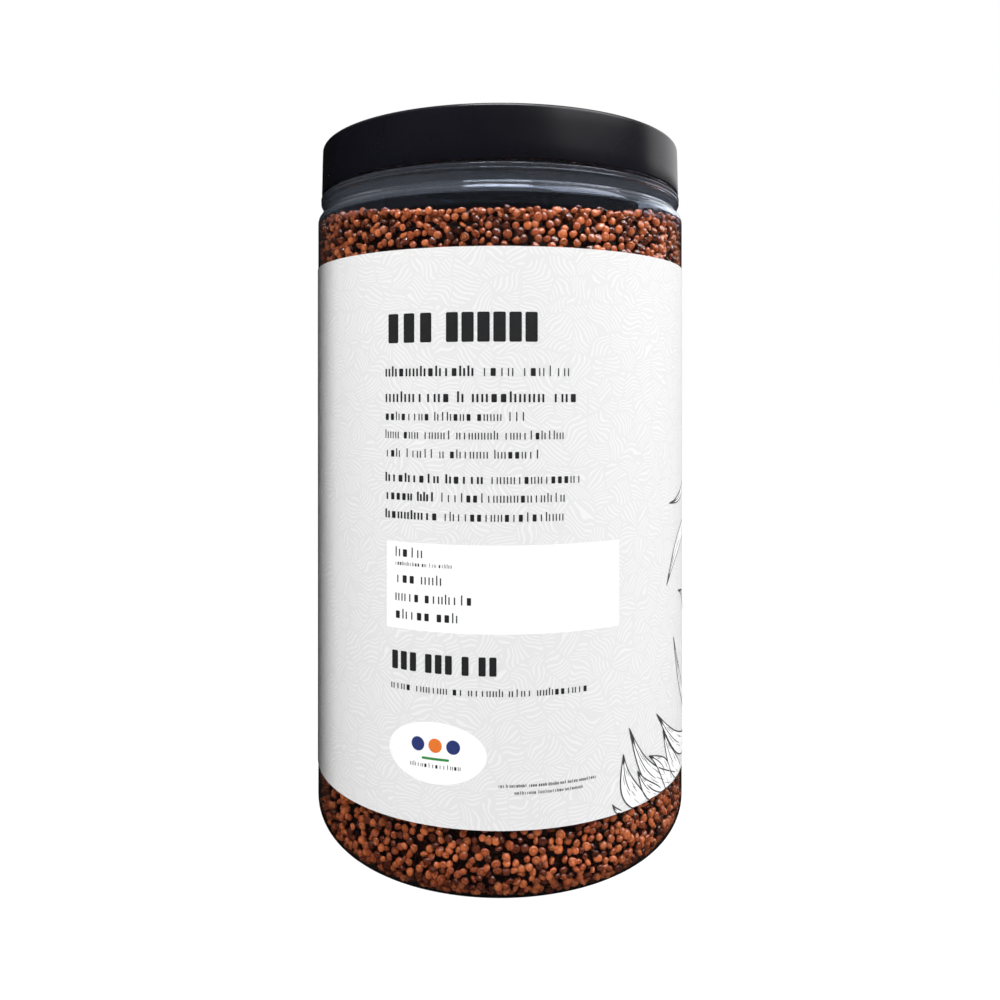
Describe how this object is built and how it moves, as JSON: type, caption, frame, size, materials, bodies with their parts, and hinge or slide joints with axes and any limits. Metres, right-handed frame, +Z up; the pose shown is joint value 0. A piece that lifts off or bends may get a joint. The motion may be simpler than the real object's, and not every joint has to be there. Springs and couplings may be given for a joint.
{
  "type": "jar of red quinoa",
  "caption": "Clear plastic screw-top jar filled with red quinoa grain, with a black lid and a white wrap-round paper label.",
  "frame": {"origin": "centre of the jar's foot, on the surface it stands on", "axes": "+Z up along the jar's axis, -Y towards the label's printed panel, +X to the right of it"},
  "size_m": [0.1058, 0.1058, 0.1927],
  "materials": {
    "clear_plastic": "clear glossy PET plastic",
    "black_plastic": "satin black moulded plastic",
    "label_paper": null,
    "quinoa_seed": "dry red-brown quinoa seeds, dull with small soft glints"
  },
  "bodies": {
    "root": {"jar": "clear_plastic", "lid": "black_plastic", "label": "label_paper", "quinoa": "quinoa_seed"}
  },
  "joints": []
}
